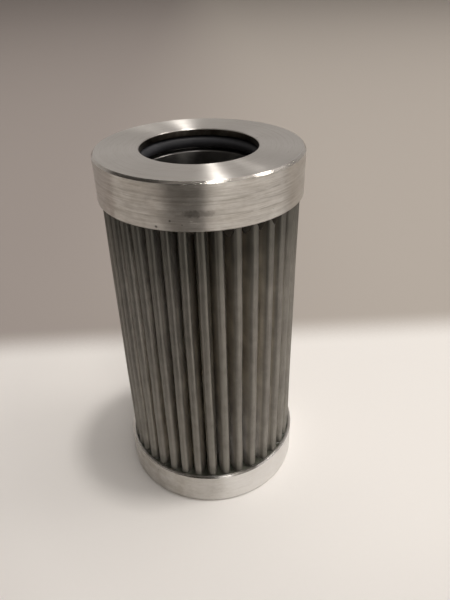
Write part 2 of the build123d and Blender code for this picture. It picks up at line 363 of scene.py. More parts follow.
# ---------------------------------------------------------------- node helpers
class Nodes:
    """A short way to write a material's or a world's nodes."""

    def __init__(self, tree):
        self.t = tree
        self.t.nodes.clear()

    def add(self, kind, **settings):
        n = self.t.nodes.new(kind)
        for key, value in settings.items():
            setattr(n, key, value)
        return n

    def link(self, a, b):
        self.t.links.new(a, b)

    def put(self, socket, value):
        if isinstance(value, bpy.types.NodeSocket):
            self.link(value, socket)
        elif value is not None:
            socket.default_value = value

    def math(self, op, a, b=None, c=None, clamp=False):
        n = self.add("ShaderNodeMath", operation=op, use_clamp=clamp)
        for s, v in zip(n.inputs, (a, b, c)):
            self.put(s, v)
        return n.outputs[0]

    def vec(self, op, a, b=None, scale=None):
        n = self.add("ShaderNodeVectorMath", operation=op)
        self.put(n.inputs[0], a)
        if b is not None:
            self.put(n.inputs[1], b)
        if scale is not None:
            self.put(n.inputs["Scale"], scale)
        return n.outputs["Value"] if op in ("DOT_PRODUCT", "LENGTH", "DISTANCE") else n.outputs[0]

    def split(self, v):
        n = self.add("ShaderNodeSeparateXYZ")
        self.put(n.inputs[0], v)
        return n.outputs

    def join(self, x, y, z):
        n = self.add("ShaderNodeCombineXYZ")
        for s, v in zip(n.inputs, (x, y, z)):
            self.put(s, v)
        return n.outputs[0]

    def noise(self, vector, scale, detail=2.0, rough=0.5, distort=0.0):
        n = self.add("ShaderNodeTexNoise")
        self.put(n.inputs["Vector"], vector)
        n.inputs["Scale"].default_value = scale
        n.inputs["Detail"].default_value = detail
        n.inputs["Roughness"].default_value = rough
        n.inputs["Distortion"].default_value = distort
        return n.outputs["Fac"]

    def ramp(self, fac, stops, interp="LINEAR"):
        n = self.add("ShaderNodeValToRGB")
        n.color_ramp.interpolation = interp
        el = n.color_ramp.elements
        while len(el) > len(stops):
            el.remove(el[-1])
        while len(el) < len(stops):
            el.new(1.0)
        for e, (p, c) in zip(el, stops):
            e.position = p
            e.color = (c, c, c, 1) if isinstance(c, (int, float)) else (*c, 1)
        self.put(n.inputs[0], fac)
        return n.outputs[0]

    def span(self, value, a, b, lo=0.0, hi=1.0, smooth=True):
        n = self.add("ShaderNodeMapRange", interpolation_type="SMOOTHSTEP" if smooth else "LINEAR")
        for s, v in zip(n.inputs, (value, a, b, lo, hi)):
            self.put(s, v)
        return n.outputs[0]

    def mix(self, fac, a, b, blend="MIX"):
        n = self.add("ShaderNodeMix", data_type="RGBA", blend_type=blend)
        self.put(n.inputs[0], fac)
        self.put(n.inputs[6], a)
        self.put(n.inputs[7], b)
        return n.outputs[2]

    def bump(self, height, distance, strength=1.0, normal=None):
        n = self.add("ShaderNodeBump")
        n.inputs["Strength"].default_value = strength
        n.inputs["Distance"].default_value = distance
        self.put(n.inputs["Height"], height)
        if normal is not None:
            self.link(normal, n.inputs["Normal"])
        return n.outputs[0]

    def principled(self, **inputs):
        n = self.add("ShaderNodeBsdfPrincipled")
        for key, value in inputs.items():
            self.put(n.inputs[key.replace("_", " ")], value)
        out = self.add("ShaderNodeOutputMaterial")
        self.link(n.outputs[0], out.inputs[0])
        return n


def material(name):
    m = bpy.data.materials.new(name)
    m.use_nodes = True
    return m, Nodes(m.node_tree)


def rgb(r, g, b):
    return (r, g, b, 1.0)


def give(ob, mat, second=None):
    index = np.zeros(len(ob.data.polygons), np.int32)
    ob.data.polygons.foreach_get("material_index", index)
    ob.data.materials.clear()
    ob.data.materials.append(mat)
    if second:
        ob.data.materials.append(second)
        ob.data.polygons.foreach_set("material_index", index)


# ---------------------------------------------------------------- turned aluminium
def turned_aluminium(name, marks):
    """Bright aluminium with the fine rings of a lathe tool. marks is 'top' for the cap that has been handled."""
    m, n = material(name)
    tc = n.add("ShaderNodeTexCoord")
    obj = tc.outputs["Object"]
    x, y, z = n.split(obj)
    uv = n.split(tc.outputs["UV"])
    s = n.math("MULTIPLY", uv[1], 10.0)                    # mm along the profile
    r = n.math("SQRT", n.math("ADD", n.math("MULTIPLY", x, x), n.math("MULTIPLY", y, y)))
    inv = n.math("DIVIDE", 1.0, n.math("MAXIMUM", r, 1e-5))
    cx, cy = n.math("MULTIPLY", x, inv), n.math("MULTIPLY", y, inv)
    turn = n.math("ARCTAN2", y, x)
    az = n.math("MULTIPLY", turn, 180 / math.pi)           # degrees
    zmm = n.math("MULTIPLY", z, 1000.0)
    up = n.math("ABSOLUTE", n.split(n.add("ShaderNodeNewGeometry").outputs["Normal"])[2])
    flat = n.span(up, 0.9, 0.98)                           # 1 on flat faces, 0 on the side
    side = n.math("SUBTRACT", 1.0, flat)
    edge = n.math("MULTIPLY", n.span(up, 0.30, 0.55), n.span(up, 0.88, 0.76))
    edge = n.math("MULTIPLY", edge, n.span(r, 0.020, 0.021))       # 1 on the outer chamfers

    def rings(freq, around, detail=2.0, rough=0.6, skew=0.0):
        t = s if not skew else n.math("ADD", s, n.math("MULTIPLY", n.math("SINE", n.math("ADD", turn, skew * 9.0)), skew))
        v = n.join(n.math("MULTIPLY", cx, around), n.math("MULTIPLY", cy, around), n.math("MULTIPLY", t, freq))
        return n.noise(v, 1.0, detail, rough)

    fine = rings(14.0, 0.5, 3.0)                  # tool marks
    coarse = rings(2.6, 0.8, 2.0)                 # bands left by chatter
    rub = rings(3.4, 5.0, 3.0, 0.65)              # short arcs, rubbed in handling
    rub2 = rings(7.0, 9.0, 2.0, 0.6, skew=0.35)
    patch = n.noise(obj, 160.0, 3.0, 0.55)
    mottle = n.noise(obj, 420.0, 4.0, 0.62)

    height = n.math("ADD", n.math("MULTIPLY", fine, 0.45), n.math("MULTIPLY", coarse, 0.8))
    height = n.math("ADD", height, n.math("MULTIPLY", rub, 0.6))

    def hair(freq, around, skew, width, lo, hi):
        """Thin scratches that run nearly along the tool marks, in some places only."""
        t = n.math("ADD", s, n.math("MULTIPLY", n.math("SINE", n.math("ADD", turn, skew * 5.0)), skew))
        v = n.join(n.math("MULTIPLY", cx, around), n.math("MULTIPLY", cy, around), n.math("MULTIPLY", t, freq))
        thin = n.span(n.math("ABSOLUTE", n.math("SUBTRACT", n.noise(v, 1.0, 1.0, 0.4), 0.5)), width, 0.0)
        place = n.span(rings(1.1, 2.6 + skew, 1.0), lo, hi)
        return n.math("MULTIPLY", thin, place)

    scratch = n.math("MAXIMUM", hair(8.0, 2.2, 0.9, 0.008, 0.50, 0.58), hair(5.0, 1.5, -0.7, 0.006, 0.52, 0.60))
    height = n.math("SUBTRACT", height, n.math("MULTIPLY", scratch, 0.8))
    height = n.math("MULTIPLY", height, n.math("SUBTRACT", 1.0, n.math("MULTIPLY", flat, 0.89)))

    tone = n.math("ADD", n.math("MULTIPLY", coarse, 0.35), n.math("MULTIPLY", patch, 0.25))
    tone = n.math("ADD", tone, n.math("MULTIPLY", rub, 0.40))
    tone = n.math("ADD", tone, n.math("MULTIPLY", n.math("MULTIPLY", flat, n.math("SUBTRACT", 0.5, tone)), 0.35))
    colour = n.ramp(tone, [(0.34, (0.655, 0.630, 0.590)), (0.5, (0.775, 0.758, 0.728)), (0.66, (0.850, 0.838, 0.815))])
    streak = n.math("MULTIPLY", n.span(rub2, 0.52, 0.70), n.math("ADD", 0.09, n.math("MULTIPLY", side, 0.32)))
    colour = n.mix(streak, colour, rgb(0.50, 0.46, 0.405))
    colour = n.mix(n.math("MULTIPLY", scratch, 0.35), colour, rgb(0.34, 0.31, 0.28))
    rough = n.math("ADD", 0.315, n.math("MULTIPLY", n.math("SUBTRACT", patch, 0.5), 0.10))
    rough = n.math("ADD", rough, n.math("MULTIPLY", n.math("SUBTRACT", rub, 0.5), 0.14))

    def line(az0, z0, az1, z1, width, soft):
        """A scratch on the side from one azimuth and height to another: 1 on it."""
        slope = (z1 - z0) / (az1 - az0)
        d = n.math("ADD", z0, n.math("MULTIPLY", n.math("SUBTRACT", az, az0), slope))
        d = n.math("ABSOLUTE", n.math("SUBTRACT", zmm, d))
        on = n.span(d, width + soft, width)
        ends = n.math("MULTIPLY", n.span(az, az0 - 2, az0 + 5), n.span(az, az1 + 2, az1 - 5))
        broken = n.span(rings(2.0, 9.0, 2.0), 0.36, 0.52)
        return n.math("MULTIPLY", n.math("MULTIPLY", on, ends), n.math("MULTIPLY", side, broken))

    def spot(a0, z0, half_a, half_z, noisy):
        """A mark on the side about one azimuth and height: 1 inside it."""
        da = n.math("DIVIDE", n.math("SUBTRACT", az, a0), half_a)
        dz = n.math("DIVIDE", n.math("SUBTRACT", zmm, z0), half_z)
        d = n.math("SQRT", n.math("ADD", n.math("MULTIPLY", da, da), n.math("MULTIPLY", dz, dz)))
        ragged = n.noise(obj, 1500.0, 4.0, 0.65)
        d = n.math("ADD", d, n.math("MULTIPLY", n.math("SUBTRACT", ragged, 0.5), noisy))
        return n.math("MULTIPLY", n.span(d, 1.2, 0.2), side)

    # a dull, slightly yellow film with thumb-sized patches, thicker round the side towards -112 degrees
    if marks == "top":
        thick_film_zone = n.span(n.math("COSINE", n.math("SUBTRACT", turn, math.radians(-112.0))), 0.45, 0.98)
        film = n.math("MULTIPLY", n.math("ADD", 0.10, n.math("MULTIPLY", thick_film_zone, 0.24)), side)
        film = n.math("MULTIPLY", film, n.span(mottle, 0.28, 0.72, 0.45, 1.0))
        colour = n.mix(film, colour, rgb(0.34, 0.295, 0.235))
        # rubbed bands, a few mm long and a few tenths wide, brighter and duller than the rest
        wipe = n.span(rings(2.4, 1.5, 4.0, 0.62), 0.34, 0.66)
        blotch = n.span(n.noise(n.join(n.math("MULTIPLY", cx, 4.4), n.math("MULTIPLY", cy, 4.4), n.math("MULTIPLY", s, 0.42)), 1.0, 3.0, 0.6), 0.36, 0.66)
        tones = n.math("ADD", n.math("MULTIPLY", wipe, 0.6), n.math("MULTIPLY", blotch, 0.4))
        worn = n.ramp(tones, [(0.12, (0.87, 0.86, 0.84)), (0.50, (1.0, 0.995, 0.985)), (0.88, (1.09, 1.09, 1.085))])
        worn = n.mix(n.math("MULTIPLY", side, n.span(cy, -0.45, -0.72, 0.35, 1.0)), (1.0, 1.0, 1.0, 1.0), worn)
        colour = n.vec("MULTIPLY", colour, worn)
        rough = n.math("ADD", rough, n.math("MULTIPLY", n.math("MULTIPLY", n.math("SUBTRACT", 0.5, tones), side), 0.08))
        rough = n.math("ADD", rough, n.math("MULTIPLY", film, 0.10))
        for args in ((-83, 80.70, -38, 80.15, 0.03, 0.12), (-74, 80.20, -30, 80.75, 0.02, 0.09),
                     (-60, 82.35, -41, 81.85, 0.05, 0.14), (-92, 83.3, -64, 83.45, 0.03, 0.12),
                     (-104, 84.6, -82, 84.7, 0.025, 0.10), (-66, 83.9, -44, 84.05, 0.04, 0.16)):
            colour = n.mix(n.math("MULTIPLY", line(*args), 0.38), colour, rgb(0.27, 0.24, 0.205))
        smear = n.math("MAXIMUM", spot(-94.8, 81.05, 5.6, 0.85, 2.6), n.math("MULTIPLY", spot(-88.5, 81.1, 5.0, 0.75, 2.6), 0.7))
        colour = n.mix(n.math("MULTIPLY", smear, 0.42), colour, rgb(0.14, 0.110, 0.085))
        rough = n.math("ADD", rough, n.math("MULTIPLY", smear, 0.15))
        for a0, z0, k in ((-105.6, 79.62, 0.30), (-112.9, 78.2, 0.34), (-99.8, 78.9, 0.15)):
            colour = n.mix(n.math("MULTIPLY", spot(a0, z0, k * 2.55, k, 1.0), 0.85), colour, rgb(0.045, 0.038, 0.032))
    else:
        # a dull film in random patches, heavier on the left, where it is partly painted shade for the shadowed floor
        # that side reflects
        film = n.math("MULTIPLY", n.span(n.noise(obj, 210.0, 4.0, 0.6), 0.45, 0.75), 0.25)
        grime_and_shade = n.span(n.math("COSINE", n.math("SUBTRACT", turn, math.radians(-135.0))), 0.55, 0.98)
        film = n.math("ADD", film, n.math("MULTIPLY", n.math("MULTIPLY", grime_and_shade, side), n.span(mottle, 0.25, 0.7, 0.25, 0.55)))
        # painted reflection: round -30 degrees the side is painted nearly white for the lit floor it reflects, and the
        # film is taken off there
        lighter_part = n.span(n.math("COSINE", n.math("SUBTRACT", turn, math.radians(-30.0))), 0.45, 0.92)
        lighter_part = n.math("MULTIPLY", n.math("MULTIPLY", lighter_part, side), n.span(mottle, 0.25, 0.75, 0.65, 0.95))
        film = n.math("MULTIPLY", film, n.math("SUBTRACT", 1.0, lighter_part))
        colour = n.mix(lighter_part, colour, rgb(0.925, 0.915, 0.90))
        colour = n.mix(film, colour, rgb(0.42, 0.385, 0.335))
        # painted shade: the flat top of the rim is painted nearly black from -97 to -44 degrees, over its highlight,
        # and made rougher
        painted_rim_shade = n.math("MULTIPLY", n.math("MULTIPLY", flat, n.span(zmm, 8.7, 8.95)), n.math("MULTIPLY", n.span(az, -97.0, -86.0), n.span(az, -44.0, -56.0)))
        colour = n.mix(n.math("MULTIPLY", painted_rim_shade, n.span(mottle, 0.25, 0.75, 0.95, 0.70)), colour, rgb(0.085, 0.078, 0.068))
        rough = n.math("ADD", rough, n.math("MULTIPLY", painted_rim_shade, 0.18))
        # painted shade: the rim's chamfer is painted dark from -80 to -59 degrees, over its highlight
        along = n.math("MULTIPLY", n.span(az, -80.5, -77.5), n.span(az, -59.0, -62.5))
        dull = n.math("MULTIPLY", n.math("MULTIPLY", along, n.span(zmm, 8.50, 8.66)), n.span(mottle, 0.2, 0.7, 1.0, 0.75))
        colour = n.mix(n.math("MULTIPLY", dull, 0.85), colour, rgb(0.15, 0.138, 0.12))
        for a0, z0, k in ((-147.5, 6.8, 0.35), (-139.0, 6.3, 0.22), (-131.0, 6.9, 0.28)):
            colour = n.mix(n.math("MULTIPLY", spot(a0, z0, k * 3.2, k, 1.3), 0.5), colour, rgb(0.14, 0.12, 0.10))

    normal = n.bump(height, 0.000010, 1.0)
    tangent = n.add("ShaderNodeTangent", direction_type="RADIAL", axis="Z")
    rough = n.math("MINIMUM", n.math("MAXIMUM", rough, 0.25), 0.6)
    rough = n.math("SUBTRACT", rough, n.math("MULTIPLY", edge, n.math("SUBTRACT", rough, 0.16 if marks == "top" else 0.24)))    # burnished by the tool
    p = n.principled(Base_Color=colour, Metallic=1.0, Roughness=rough,
                     Anisotropic=1.0, Anisotropic_Rotation=0.25, Normal=normal)
    n.link(tangent.outputs[0], p.inputs["Tangent"])
    return m


def bored_aluminium(name):
    """The bore and the ring groove: the same metal, darkened by an oil film, with the tighter marks of a boring tool."""
    m, n = material(name)
    tc = n.add("ShaderNodeTexCoord")
    obj = tc.outputs["Object"]
    x, y, z = n.split(obj)
    uv = n.split(tc.outputs["UV"])
    s = n.math("MULTIPLY", uv[1], 10.0)
    r = n.math("MAXIMUM", n.math("SQRT", n.math("ADD", n.math("MULTIPLY", x, x), n.math("MULTIPLY", y, y))), 1e-5)
    cx, cy = n.math("DIVIDE", x, r), n.math("DIVIDE", y, r)
    fine = n.noise(n.join(n.math("MULTIPLY", cx, 0.6), n.math("MULTIPLY", cy, 0.6), n.math("MULTIPLY", s, 16.0)), 1.0, 3.0, 0.6)
    film = n.noise(obj, 230.0, 4.0, 0.6)
    colour = n.ramp(film, [(0.30, (0.085, 0.070, 0.056)), (0.55, (0.155, 0.135, 0.112)), (0.75, (0.270, 0.245, 0.215))])
    lighter_part = n.ramp(film, [(0.30, (0.27, 0.262, 0.255)), (0.70, (0.42, 0.41, 0.40))])
    colour = n.mix(n.span(z, H - 3.0 * MM, H - 4.5 * MM), colour, lighter_part)
    p = n.principled(Base_Color=colour, Metallic=1.0, Roughness=n.span(film, 0.3, 0.7, 0.30, 0.42),
                     Anisotropic=0.5, Anisotropic_Rotation=0.25, Normal=n.bump(fine, 0.000008, 1.0))
    tangent = n.add("ShaderNodeTangent", direction_type="RADIAL", axis="Z")
    n.link(tangent.outputs[0], p.inputs["Tangent"])
    return m


# ---------------------------------------------------------------- wire cloth
def wire_cloth(name, pitch, colour_hi, colour_lo, depth, rough=0.42):
    """Plain-woven wire cloth from the UV in mm: wires go over and under each other at every pitch.
    The flanks between the folds are painted paler the deeper they lie, as painted light in the gaps between the pleats."""
    m, n = material(name)
    tc = n.add("ShaderNodeTexCoord")
    obj = tc.outputs["Object"]
    x, y, z = n.split(obj)
    r = n.math("SQRT", n.math("ADD", n.math("MULTIPLY", x, x), n.math("MULTIPLY", y, y)))
    uv = n.split(tc.outputs["UV"])
    wob = n.noise(obj, 500.0, 2.0)
    u = n.math("ADD", n.math("DIVIDE", uv[0], pitch), n.math("MULTIPLY", wob, 0.12))
    v = n.math("ADD", n.math("DIVIDE", uv[1], pitch), n.math("MULTIPLY", wob, 0.12))

    def wire(across, along):
        """Height of the wires that run along one way: round across, and rising and falling along."""
        f = n.math("SUBTRACT", n.math("FRACT", across), 0.5)
        rnd = n.math("SQRT", n.math("MAXIMUM", n.math("SUBTRACT", 0.19, n.math("MULTIPLY", f, f)), 0.0))
        row = n.math("FLOOR", across)
        wave = n.math("SINE", n.math("MULTIPLY", n.math("ADD", n.math("ADD", along, row), 0.5), math.pi))
        return n.math("ADD", rnd, n.math("MULTIPLY", wave, 0.16))

    height = n.math("MAXIMUM", wire(u, v), wire(v, n.math("ADD", u, 1.0)))
    patch = n.noise(obj, 240.0, 4.0, 0.6)
    streak = n.noise(n.vec("MULTIPLY", tc.outputs["UV"], (1.0, 0.025, 1.0)), 2.6, 3.0, 0.6)
    shade = n.span(height, 0.10, 0.50)
    shine = n.ramp(n.math("MULTIPLY", r, 40.0), [(0.744, (2.9, 2.9, 2.9)), (0.784, (2.3, 2.3, 2.3)), (0.825, (1.9, 1.9, 1.9)), (0.850, (1.0, 1.0, 1.0))])
    colour = n.mix(n.span(patch, 0.35, 0.65), rgb(*colour_lo), rgb(*colour_hi))
    colour = n.mix(n.math("MULTIPLY", n.span(streak, 0.35, 0.70), 0.40), colour, rgb(*[c * 1.35 for c in colour_hi]))
    colour = n.vec("MULTIPLY", colour, shine)              # painted light: paler deep in the gaps between the pleats, plain at the folds' tips, 21 mm out
    # painted light from the floor: the flanks are paler low down on the front right
    toward = n.math("DIVIDE", n.math("ADD", n.math("MULTIPLY", x, math.cos(math.radians(-58.0))), n.math("MULTIPLY", y, math.sin(math.radians(-58.0)))), r)
    lighter_part = n.math("MULTIPLY", n.span(toward, 0.70, 0.97), n.math("MULTIPLY", n.span(z, 0.046, 0.014), n.span(r, 0.0210, 0.0200)))
    colour = n.mix(lighter_part, colour, n.vec("MULTIPLY", colour, (1.20, 1.235, 1.33)))
    # painted light on the other side: the flanks are painted paler and the folds' tips a little darker, evening out the
    # shade between them, and the cloth is rougher there
    beside = n.math("DIVIDE", n.math("ADD", n.math("MULTIPLY", x, math.cos(math.radians(-127.0))), n.math("MULTIPLY", y, math.sin(math.radians(-127.0)))), r)
    painted_flank_light = n.math("MULTIPLY", n.span(beside, 0.85, 0.96), n.span(z, 0.026, 0.058))
    colour = n.mix(painted_flank_light, colour, n.vec("MULTIPLY", colour, n.ramp(n.math("MULTIPLY", r, 40.0), [(0.790, (1.0, 1.02, 1.08)), (0.822, (1.30, 1.33, 1.40)), (0.840, (1.22, 1.23, 1.26)), (0.853, (0.90, 0.90, 0.91))])))
    # the adhesive has crept into the cloth's ends; the long fade to darker towards the top is painted shade
    ragged = n.math("MULTIPLY", n.math("SUBTRACT", n.noise(obj, 330.0, 3.0, 0.6), 0.5), 0.010)
    zz = n.math("ADD", z, ragged)
    adhesive_and_shade = n.math("MAXIMUM", n.span(zz, 0.058, 0.0765), n.math("MULTIPLY", n.span(zz, 0.0135, 0.0085), 0.8))
    colour = n.mix(n.math("MULTIPLY", adhesive_and_shade, n.span(r, 0.0195, 0.0208, 0.12, 0.56)), colour, rgb(0.075, 0.078, 0.066))
    colour = n.mix(shade, n.mix(0.45, colour, rgb(0.02, 0.02, 0.02)), colour)
    rg = n.math("ADD", rough, n.math("MULTIPLY", n.math("SUBTRACT", patch, 0.5), 0.2))
    rg = n.math("ADD", rg, n.math("MULTIPLY", n.math("SUBTRACT", 1.0, shade), 0.2))
    rg = n.math("ADD", rg, n.math("MULTIPLY", painted_flank_light, 0.09))
    normal = n.bump(height, depth, 1.0)
    tan = n.add("ShaderNodeTangent", direction_type="UV_MAP")
    n.principled(Base_Color=colour, Metallic=0.85, Roughness=rg, Anisotropic=0.85, Anisotropic_Rotation=0.25,
                 Tangent=tan.outputs[0], Normal=normal)
    return m


def rubber(name):
    m, n = material(name)
    tc = n.add("ShaderNodeTexCoord")
    grain = n.noise(tc.outputs["Object"], 2600.0, 3.0, 0.6)
    smear = n.noise(tc.outputs["Object"], 170.0, 3.0, 0.55)
    colour = n.ramp(smear, [(0.35, (0.034, 0.035, 0.039)), (0.65, (0.054, 0.055, 0.061))])
    rough = n.span(smear, 0.3, 0.7, 0.40, 0.52)
    n.principled(Base_Color=colour, Roughness=rough, Specular_IOR_Level=0.18, Normal=n.bump(grain, 0.000006, 1.0))
    return m


def core_steel(name):
    m, n = material(name)
    tc = n.add("ShaderNodeTexCoord")
    stretched = n.vec("MULTIPLY", tc.outputs["Object"], (1.0, 1.0, 9.0))
    roll = n.noise(stretched, 420.0, 3.0, 0.6)
    spangle = n.add("ShaderNodeTexVoronoi", feature="F1")
    n.put(spangle.inputs["Vector"], tc.outputs["Object"])
    spangle.inputs["Scale"].default_value = 420.0
    tone = n.math("ADD", n.math("MULTIPLY", n.split(spangle.outputs["Color"])[0], 0.3), n.math("MULTIPLY", roll, 0.7))
    colour = n.ramp(tone, [(0.2, (0.30, 0.295, 0.285)), (0.8, (0.50, 0.49, 0.475))])
    n.principled(Base_Color=colour, Metallic=1.0, Roughness=n.span(tone, 0.2, 0.8, 0.32, 0.5), Normal=n.bump(roll, 0.00001, 1.0))
    return m


def seam_steel(name):
    m, n = material(name)
    tc = n.add("ShaderNodeTexCoord")
    brushed = n.noise(n.vec("MULTIPLY", tc.outputs["Object"], (14.0, 14.0, 1.0)), 90.0, 4.0, 0.65)
    patch = n.noise(tc.outputs["Object"], 300.0, 3.0, 0.6)
    colour = n.ramp(n.math("ADD", n.math("MULTIPLY", brushed, 0.6), n.math("MULTIPLY", patch, 0.4)),
                    [(0.3, (0.34, 0.33, 0.31)), (0.7, (0.53, 0.52, 0.50))])
    n.principled(Base_Color=colour, Metallic=1.0, Roughness=n.span(patch, 0.3, 0.7, 0.28, 0.46), Normal=n.bump(brushed, 0.00001, 1.0))
    return m


def epoxy(name, tint=(1.0, 1.0, 1.0), shine=0.55, rough=0.18):
    m, n = material(name)
    tc = n.add("ShaderNodeTexCoord")
    patch = n.noise(tc.outputs["Object"], 240.0, 4.0, 0.6)
    fine = n.noise(tc.outputs["Object"], 1500.0, 3.0, 0.6)
    shades = ((0.3, (0.035, 0.036, 0.028)), (0.55, (0.085, 0.088, 0.070)), (0.75, (0.150, 0.152, 0.125)))
    colour = n.ramp(patch, [(at, tuple(c * t for c, t in zip(shade, tint))) for at, shade in shades])
    n.principled(Base_Color=colour, Roughness=n.span(patch, 0.3, 0.7, rough, rough + 0.20), Specular_IOR_Level=shine,
                 Normal=n.bump(n.math("ADD", patch, n.math("MULTIPLY", fine, 0.3)), 0.00006, 1.0))
    return m


# ---------------------------------------------------------------- end caps
top_profile = rounded([
    (BORE_R + 0.2 * MM, H, 0.06 * MM, 3),
    (TOP_R - 0.5 * MM, H, 0.14 * MM, 4),
    (TOP_R, H - 0.5 * MM, 0.14 * MM, 4),
    (TOP_R, TOP_BASE + 0.2 * MM, 0.08 * MM, 3),
    (TOP_R - 0.2 * MM, TOP_BASE, 0.08 * MM, 3),
    (CHANNEL_R, TOP_BASE, 0.05 * MM, 2),
    (CHANNEL_R, CHANNEL_CEIL, 0.0, 1),
    (COLLAR_R, CHANNEL_CEIL, 0.0, 1),
    (COLLAR_R, TOP_BASE, 0.05 * MM, 2),
    (BORE_R, TOP_BASE, 0.08 * MM, 3),
    (BORE_R, H - LAND - GROOVE_W - 0.2 * MM, 0.05 * MM, 3),
    (BORE_R + 0.2 * MM, H - LAND - GROOVE_W, 0.05 * MM, 3),
    (GROOVE_R, H - LAND - GROOVE_W, 0.15 * MM, 4),
    (GROOVE_R, H - LAND, 0.15 * MM, 4),
    (BORE_R, H - LAND, 0.05 * MM, 3),
    (BORE_R, H - 0.2 * MM, 0.05 * MM, 3),
])
# the profile runs outwards along the top face, so it is turned round for outward normals
top_cap = lathe("turned_top_cap", top_profile[::-1],
                second=lambda r, z: r < GROOVE_R + 0.02 * MM and TOP_BASE < z < H - 0.18 * MM)
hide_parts("top_end_cap")

FLOOR_Z = 4.6 * MM
bottom_profile = rounded([
    (0.0, 0.0, 0.0, 1),
    (BOT_R - 0.5 * MM, 0.0, 0.12 * MM, 4),
    (BOT_R, 0.5 * MM, 0.12 * MM, 4),
    (BOT_R, BOT_TOP - 0.3 * MM, 0.09 * MM, 4),
    (BOT_R - 0.3 * MM, BOT_TOP, 0.09 * MM, 4),
    (CHANNEL_R, BOT_TOP, 0.05 * MM, 3),
    (CHANNEL_R, CHANNEL_FLOOR, 0.0, 1),
    (COLLAR_R, CHANNEL_FLOOR, 0.0, 1),
    (COLLAR_R, BOT_TOP, 0.05 * MM, 3),
    (BORE_R, BOT_TOP, 0.05 * MM, 3),
    (BORE_R, FLOOR_Z, 0.4 * MM, 5),
    (0.0, FLOOR_Z, 0.0, 1),
])
bottom_cap = lathe("turned_bottom_cap", bottom_profile)
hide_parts("bottom_end_cap")

alu_top = turned_aluminium("turned_aluminium_top", "top")
alu_bottom = turned_aluminium("turned_aluminium_bottom", "bottom")
give(top_cap, alu_top, bored_aluminium("bored_aluminium"))
give(bottom_cap, alu_bottom)

# ---------------------------------------------------------------- folded cloths
outer_cloth = cloth("pleated_outer_cloth", 0.0, CLOTHS[0])
middle_cloth = cloth("pleated_filter_cloth", CLOTHS[0], CLOTHS[0] + CLOTHS[1])
inner_cloth = cloth("pleated_inner_cloth", CLOTHS[0] + CLOTHS[1], PACK)
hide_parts("outer_support_mesh")
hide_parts("filter_mesh")
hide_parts("inner_support_mesh")
coarse_cloth = wire_cloth("support_cloth", 0.16, (0.34, 0.323, 0.290), (0.25, 0.236, 0.213), 0.000010)
fine_cloth = wire_cloth("filter_cloth", 0.08, (0.36, 0.345, 0.315), (0.28, 0.265, 0.24), 0.000015)
give(outer_cloth, coarse_cloth)
give(middle_cloth, fine_cloth)
give(inner_cloth, coarse_cloth)


# ---------------------------------------------------------------- potting
def pleat_distance(px, py):
    """Distance in mm from each point to the pack's middle line, at its ends."""
    line = pleat_points(PACK / 2, 6, 6, 4)[:, :2]
    a, b = line[:-1], line[1:]
    ab = b - a
    l2 = (ab ** 2).sum(1)
    pts = np.stack([px.ravel(), py.ravel()], 1)
    out = np.empty(len(pts))
    for k in range(0, len(pts), 4000):
        q = pts[k:k + 4000, None, :] - a[None]
        t = np.clip((q * ab[None]).sum(2) / l2[None], 0, 1)
        out[k:k + 4000] = np.sqrt(((q - t[..., None] * ab[None]) ** 2).sum(2)).min(1)
    return out.reshape(px.shape)


def potting(name, z_back, z_front, way, drips, radial=58, around=900, seed=5):
    """Cast adhesive in a channel, from its back wall at z_back to its free surface at z_front; way is the sense from back to front.
    The surface creeps up the cloth and the walls, and stands proud at the drips (azimuth, radius, half width, height)."""
    r = np.linspace(COLLAR_R / MM, CHANNEL_R / MM, radial + 1)
    a = np.arange(around) * 2 * math.pi / around
    A, R = np.meshgrid(a, r)
    X, Y = R * np.cos(A), R * np.sin(A)
    d = np.maximum(pleat_distance(X, Y) - PACK / 2, 0.0)
    g = np.random.default_rng(seed)
    waves = sum(g.normal(0, 1) * np.sin(k * A + g.uniform(0, 6.28) + R * g.uniform(-0.5, 0.5)) / k ** 0.5 for k in range(2, 26, 3))
    waves = waves / np.abs(waves).max()
    inward = np.clip((CHANNEL_R / MM - R) / 7.5, 0, 1)
    h = (0.30 + 0.35 * inward) * np.exp(-d / (0.28 + 0.2 * inward)) + 0.10 * np.exp(-(CHANNEL_R / MM - R) / 0.18)
    h = h + 0.12 * waves * inward ** 0.5 + 0.25 * inward ** 2
    for az, rr, half, tall in drips:
        cx_, cy_ = rr * math.cos(math.radians(az)), rr * math.sin(math.radians(az))
        h = h + tall * np.exp(-((X - cx_) ** 2 + (Y - cy_) ** 2) / half ** 2)
    edge = np.clip((CHANNEL_R / MM - R) / 0.12, 0, 1)
    h = np.where(R > CHANNEL_R / MM - 0.12, np.minimum(h, 0.36), h)
    Z = z_front / MM + way * h
    n = around
    verts = [(X[i, k], Y[i, k], Z[i, k]) for i in range(radial + 1) for k in range(n)]
    base = len(verts)
    for i in (0, radial):
        verts += [(X[i, k], Y[i, k], z_back / MM) for k in range(n)]
    faces = []
    for i in range(radial):
        for k in range(n):
            m_ = (k + 1) % n
            f = (i * n + k, (i + 1) * n + k, (i + 1) * n + m_, i * n + m_)
            faces.append(f if way > 0 else f[::-1])
    for k in range(n):
        m_ = (k + 1) % n
        f = (base + k, base + m_, base + n + m_, base + n + k)
        faces.append(f if way > 0 else f[::-1])
        f = (k, m_, base + m_, base + k)
        faces.append(f if way > 0 else f[::-1])
        f = (radial * n + m_, radial * n + k, base + n + k, base + n + m_)
        faces.append(f if way > 0 else f[::-1])
    return new_object(name, np.array(verts) * MM, faces, None, 60.0)


